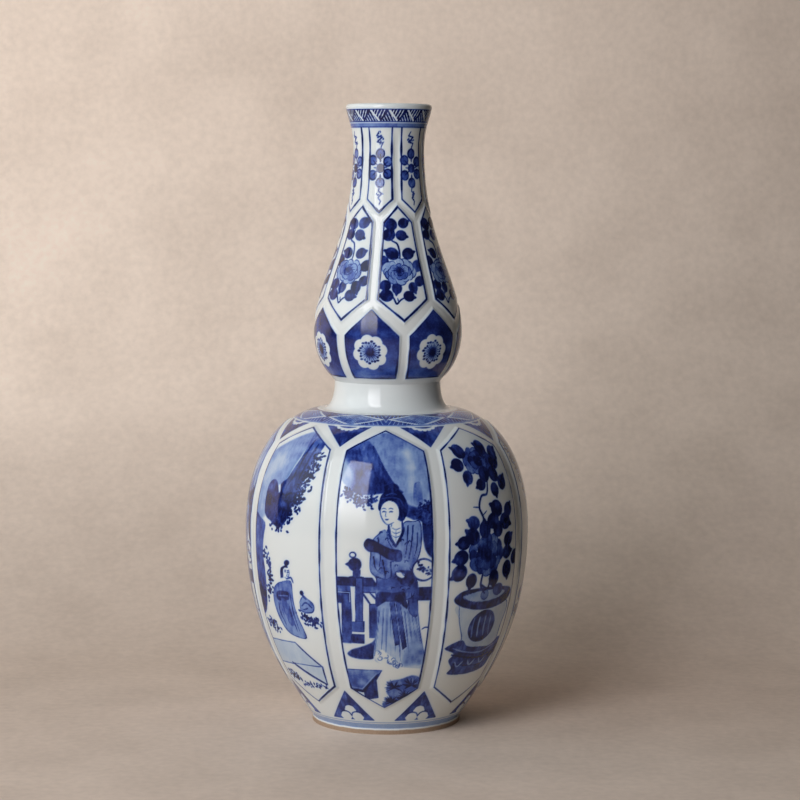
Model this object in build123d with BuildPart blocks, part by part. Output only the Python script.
"""Double gourd vase of porcelain, built from clay sections that are luted one on another with slip.

Seen from below: a foot ring, a floor disc, the lower bulb in two halves, a plain waist collar,
the upper bulb, and a neck with a flared lip. Rows of panels are pressed out of the wall in a mould.
The axis of the vase is Z, it stands on Z = 0, and its front faces -Y. Sizes are in millimetres.
"""
from math import cos, radians, sin
import os

from build123d import *

# Foot and floor
foot_radius = 32.5
foot_height = 2.8
foot_width = 5.0
foot_recess = 6.0
floor_thickness = 4.5

# Lower bulb: the foot edge leans out into the belly, and the shoulder closes to a level ledge
foot_lean = 53.0
foot_pull = 25.2
belly_radius = 62.0
belly_rise = 83.2
belly_pull_down = 41.0
belly_pull_up = 33.0
ledge_rise = 52.0
ledge_width = 5.35
ledge_pull = 17.0
lower_wall = 5.0

# Waist collar
waist_radius = 23.15
waist_rise = 11.0
waist_root_pull = 5.1
waist_pull = 0.8
waist_straight = 1.3
waist_wall = 4.2

# Upper bulb
underside_lean = 50.0
underside_pull = 2.8
bulge_radius = 32.3
bulge_rise = 21.7
bulge_pull_down = 13.8
bulge_pull_up = 21.3
upper_wall = 4.0

# Neck and lip
neck_radius = 15.45
neck_rise = 78.5
neck_pull_down = 39.4
neck_pull_up = 9.2
neck_wall = 3.05
bore_below_neck = 18.5
bore_above_neck = 6.5
lip_radius = 18.5
lip_rise = 17.0
lip_lean = 78.5
lip_pull = 4.7
lip_round = 2.5
lip_thickness = 2.9

# Slip joints between the clay sections
slip_thickness = 0.6
slip_bead_radius = 1.2
shoulder_seam_rise = 3.2
waist_seam_drop = 0.3
neck_seam_drop = 3.0

# Moulded panels: how far they stand out, and the bands left between them
panel_relief = 0.8
panel_depth = 2.4
lower_count = 8
lower_turn = -1.0
lower_band = 6.6
lower_foot_gap = 10.2
lower_foot_point = 9.5
lower_ledge_gap = 5.0
lower_ledge_point = 8.0
upper_count = 7
petal_turn = -13.0
petal_band = 4.0
petal_waist_gap = 2.4
petal_above_bulge = 11.0
petal_point = 11.3
pear_band = 4.0
pear_above_bulge = 5.4
pear_low_point = 9.4
pear_below_neck = 23.7
pear_high_point = 7.2
leaf_band = 3.1
leaf_below_neck = 27.5
leaf_low_point = 6.0
leaf_above_neck = 9.5

# Finest step along an outline when a radius is looked up on it
outline_step = 1e-9

# Heights that follow from the rises
belly_height = foot_height + belly_rise
ledge_height = belly_height + ledge_rise
waist_height = ledge_height + waist_rise
underside_height = waist_height + waist_straight
bulge_height = underside_height + bulge_rise
neck_height = bulge_height + neck_rise
lip_height = neck_height + lip_rise
vase_height = lip_height + lip_round
floor_height = foot_recess + floor_thickness
bore_low = neck_height - bore_below_neck
bore_high = neck_height + bore_above_neck

# Radii that follow from the walls
ledge_radius = waist_radius + ledge_width
waist_bore = waist_radius - waist_wall
neck_bore = neck_radius - neck_wall
lip_top_radius = lip_radius - lip_thickness / 2
mouth_radius = lip_radius - lip_thickness
mouth_height = vase_height - lip_thickness / 2


def leaning(point, angle, length):
    """A point at a length from another, along a line that leans out at an angle above level."""
    return (point[0] + length * cos(radians(angle)), point[1] + length * sin(radians(angle)))


def lower_outline(sink):
    """Outside of the lower bulb from the foot edge to the ledge, with its belly sunk by a depth."""
    foot_edge = (foot_radius, foot_height)
    belly = (belly_radius - sink, belly_height)
    ledge = (ledge_radius, ledge_height)
    foot_handle = leaning(foot_edge, foot_lean, foot_pull)
    Bezier(foot_edge, foot_handle, (belly[0], belly_height - belly_pull_down), belly)
    Bezier(belly, (belly[0], belly_height + belly_pull_up), (ledge_radius + ledge_pull, ledge_height), ledge)


def waist_outline():
    """Outside of the plain waist, from the ledge to the underside of the upper bulb."""
    ledge = (ledge_radius, ledge_height)
    waist = (waist_radius, waist_height)
    root_handle = (ledge_radius - waist_root_pull, ledge_height)
    Bezier(ledge, root_handle, (waist_radius, waist_height - waist_pull), waist)
    Line(waist, (waist_radius, underside_height))


def upper_outline(sink):
    """Outside of the upper bulb and neck, with the bulge and the neck sunk by a depth."""
    underside = (waist_radius, underside_height)
    bulge = (bulge_radius - sink, bulge_height)
    neck = (neck_radius - sink / 2, neck_height)
    lip = (lip_radius, lip_height)
    underside_handle = leaning(underside, underside_lean, underside_pull)
    Bezier(underside, underside_handle, (bulge[0], bulge_height - bulge_pull_down), bulge)
    Bezier(bulge, (bulge[0], bulge_height + bulge_pull_up), (neck[0], neck_height - neck_pull_down), neck)
    Bezier(neck, (neck[0], neck_height + neck_pull_up), leaning(lip, lip_lean, -lip_pull), lip)


def inner_outline():
    """Inside of the wall from the floor of the vase up to the mouth."""
    floor_edge = (foot_radius, floor_height)
    belly = (belly_radius - lower_wall, belly_height)
    ledge = (ledge_radius, ledge_height - lower_wall)
    throat = (waist_bore, underside_height + waist_wall / 2)
    bulge = (bulge_radius - upper_wall, bulge_height)
    floor_handle = leaning(floor_edge, foot_lean, foot_pull)
    throat_handle = leaning(throat, underside_lean, underside_pull)
    Bezier(floor_edge, floor_handle, (belly[0], belly_height - belly_pull_down), belly)
    Bezier(belly, (belly[0], belly_height + belly_pull_up), (ledge_radius + ledge_pull, ledge[1]), ledge)
    Bezier(ledge, (waist_bore, ledge[1]), (waist_bore, ledge_height))
    Line((waist_bore, ledge_height), throat)
    Bezier(throat, throat_handle, (bulge[0], bulge_height - bulge_pull_down / 2), bulge)
    Bezier(
        bulge,
        (bulge[0], bulge_height + bulge_pull_up),
        (neck_bore, bore_low - neck_pull_down / 2),
        (neck_bore, bore_low),
    )
    Line((neck_bore, bore_low), (neck_bore, bore_high))
    Bezier(
        (neck_bore, bore_high),
        (neck_bore, bore_high + lip_pull),
        (mouth_radius, mouth_height - lip_pull),
        (mouth_radius, mouth_height),
    )


def radius_on(outline, height):
    """Radius of an outline, drawn from below to above, at a height."""
    low = 0.0
    high = 1.0
    while high - low > outline_step:
        middle = (low + high) / 2
        if (outline @ middle).Y < height:
            low = middle
        else:
            high = middle
    return (outline @ low).X


# The whole wall, with its swellings at the depth of the bands between the panels
with BuildPart() as wall:
    with BuildSketch(Plane.XZ) as wall_section:
        with BuildLine():
            Polyline(
                (0, floor_height),
                (0, foot_recess),
                (foot_radius - foot_width, foot_recess),
                (foot_radius - foot_width, 0),
                (foot_radius, 0),
                (foot_radius, foot_height),
            )
            lower_outline(panel_relief)
            waist_outline()
            upper_outline(panel_relief)
            lip_corner = leaning((lip_radius, lip_height), lip_lean, lip_round / sin(radians(lip_lean)))
            Bezier((lip_radius, lip_height), lip_corner, (lip_top_radius, vase_height))
            Bezier((lip_top_radius, vase_height), (mouth_radius, vase_height), (mouth_radius, mouth_height))
            inner_outline()
            Line((foot_radius, floor_height), (0, floor_height))
        make_face()
    revolve(axis=Axis.Z)

# Shells at the outside of each bulb, from which the panels are taken
with BuildPart() as lower_shell:
    with BuildSketch(Plane.XZ):
        with BuildLine():
            lower_outline(0)
            lower_outline(panel_depth)
        make_face()
    revolve(axis=Axis.Z)

with BuildPart() as upper_shell:
    with BuildSketch(Plane.XZ):
        with BuildLine():
            upper_outline(0)
            upper_outline(panel_depth)
        make_face()
    revolve(axis=Axis.Z)

# The outlines alone, from which heights give radii
with BuildLine() as lower_line:
    lower_outline(0)

with BuildLine() as upper_line:
    upper_outline(0)

with BuildLine() as inner_line:
    inner_outline()


def moulded_panel(shell, outline, widest, count, band, low, high):
    """One raised panel that faces -Y, between two upright bands.

    low and high are each a pair of heights: the panel's end at its middle, and at its corners.
    """
    half_pitch = radians(180 / count)
    half_band = band / 2
    far = 2 * widest
    apex = -half_band / sin(half_pitch)
    side_x = far * sin(half_pitch)
    side_y = apex - far * cos(half_pitch)
    edge_x = widest * sin(half_pitch)
    edges = []
    for point, corner in (low, high):
        corner_x = radius_on(outline, corner) * sin(half_pitch) - half_band * cos(half_pitch)
        edges.append(point + (corner - point) * edge_x / corner_x)
    with BuildPart() as panel:
        add(shell)
        with BuildSketch():
            with BuildLine():
                Polyline((0, apex), (side_x, side_y), (-side_x, side_y), close=True)
            make_face()
        extrude(amount=vase_height, mode=Mode.INTERSECT)
        with BuildSketch(Plane.XZ):
            with BuildLine():
                Polyline(
                    (0, low[0]),
                    (edge_x, edges[0]),
                    (edge_x, edges[1]),
                    (0, high[0]),
                    (-edge_x, edges[1]),
                    (-edge_x, edges[0]),
                    close=True,
                )
            make_face()
        extrude(amount=far, mode=Mode.INTERSECT)
    return panel.part


# Large panels of the lower bulb, pointed at both ends
lower_low = foot_height + lower_foot_gap
lower_high = ledge_height - lower_ledge_gap
lower_panel = moulded_panel(
    lower_shell.part,
    lower_line.wire(),
    belly_radius,
    lower_count,
    lower_band,
    (lower_low, lower_low + lower_foot_point),
    (lower_high, lower_high - lower_ledge_point),
)

# Petals round the upper bulb, level below and pointed above
petal_low = underside_height + petal_waist_gap
petal_high = bulge_height + petal_above_bulge
petal_panel = moulded_panel(
    upper_shell.part,
    upper_line.wire(),
    bulge_radius,
    upper_count,
    petal_band,
    (petal_low, petal_low),
    (petal_high, petal_high - petal_point),
)

# Pear-shaped panels above the petals and between them
pear_turn = petal_turn + 180 / upper_count
pear_low = bulge_height + pear_above_bulge
pear_high = neck_height - pear_below_neck
pear_panel = moulded_panel(
    upper_shell.part,
    upper_line.wire(),
    bulge_radius,
    upper_count,
    pear_band,
    (pear_low, pear_low + pear_low_point),
    (pear_high, pear_high - pear_high_point),
)

# Long panels of the neck, in line with the petals
leaf_low = neck_height - leaf_below_neck
leaf_high = neck_height + leaf_above_neck
leaf_panel = moulded_panel(
    upper_shell.part,
    upper_line.wire(),
    bulge_radius,
    upper_count,
    leaf_band,
    (leaf_low, leaf_low + leaf_low_point),
    (leaf_high, leaf_high),
)

# Each row of panels: its panel, how many go round, where the first one faces, and its two ends
panel_rows = [
    (lower_panel, lower_count, lower_turn, lower_low, lower_high),
    (petal_panel, upper_count, petal_turn, petal_low, petal_high),
    (pear_panel, upper_count, pear_turn, pear_low, pear_high),
    (leaf_panel, upper_count, petal_turn, leaf_low, leaf_high),
]

# Heights of the six slip joints, each measured at its lower face
foot_seam = foot_recess - slip_thickness
floor_seam = floor_height
belly_seam = belly_height
shoulder_seam = ledge_height + shoulder_seam_rise
waist_seam = underside_height - waist_seam_drop - slip_thickness
neck_seam = bore_low - neck_seam_drop

# Clay sections and slip joints from below to above, each with the height of its upper face
layer_tops = {
    "foot_ring": foot_seam,
    "foot_slip": foot_seam + slip_thickness,
    "floor_disc": floor_seam,
    "floor_slip": floor_seam + slip_thickness,
    "lower_bulb_bottom": belly_seam,
    "belly_slip": belly_seam + slip_thickness,
    "lower_bulb_top": shoulder_seam,
    "shoulder_slip": shoulder_seam + slip_thickness,
    "waist_collar": waist_seam,
    "waist_slip": waist_seam + slip_thickness,
    "upper_bulb": neck_seam,
    "neck_slip": neck_seam + slip_thickness,
    "neck": vase_height,
}

# Each joint's bead of squeezed-out slip lies in a corner or on the inner wall: its radius and height
slip_middle = slip_thickness / 2
beads = {
    "foot_slip": (foot_radius - foot_width, foot_seam + slip_middle),
    "floor_slip": (foot_radius, floor_seam + slip_middle),
}
wall_seams = {
    "belly_slip": belly_seam,
    "shoulder_slip": shoulder_seam,
    "waist_slip": waist_seam,
    "neck_slip": neck_seam,
}
for seam_name, seam_low in wall_seams.items():
    seam_height = seam_low + slip_middle
    beads[seam_name] = (radius_on(inner_line.wire(), seam_height), seam_height)


def cut_level(clay, low, high):
    """The length of a clay wall or panel between two level cuts."""
    with BuildPart() as length:
        add(clay)
        split(bisect_by=Plane.XY.offset(low), keep=Keep.TOP)
        split(bisect_by=Plane.XY.offset(high), keep=Keep.BOTTOM)
    return length.part


# Every section and joint: its length of wall, its share of the panels, and its bead
os.makedirs("parts", exist_ok=True)
layer_low = 0
for layer_name, layer_top in layer_tops.items():
    layer_wall = cut_level(wall.part, layer_low, layer_top)
    layer_panels = []
    for panel, count, turn, panel_low, panel_high in panel_rows:
        if panel_low < layer_top and panel_high > layer_low:
            layer_panels.append((cut_level(panel, layer_low, layer_top), count, turn))
    with BuildPart() as piece:
        add(layer_wall)
        for panel, count, turn in layer_panels:
            with PolarLocations(0, count, start_angle=turn):
                add(panel)
        if layer_name in beads:
            with BuildSketch(Plane.XZ):
                with Locations(beads[layer_name]):
                    Circle(slip_bead_radius)
                add(wall_section.sketch_local, mode=Mode.SUBTRACT)
            revolve(axis=Axis.Z)
    piece.part.label = layer_name
    export_step(piece.part, f"parts/{layer_name}.step")
    layer_low = layer_top
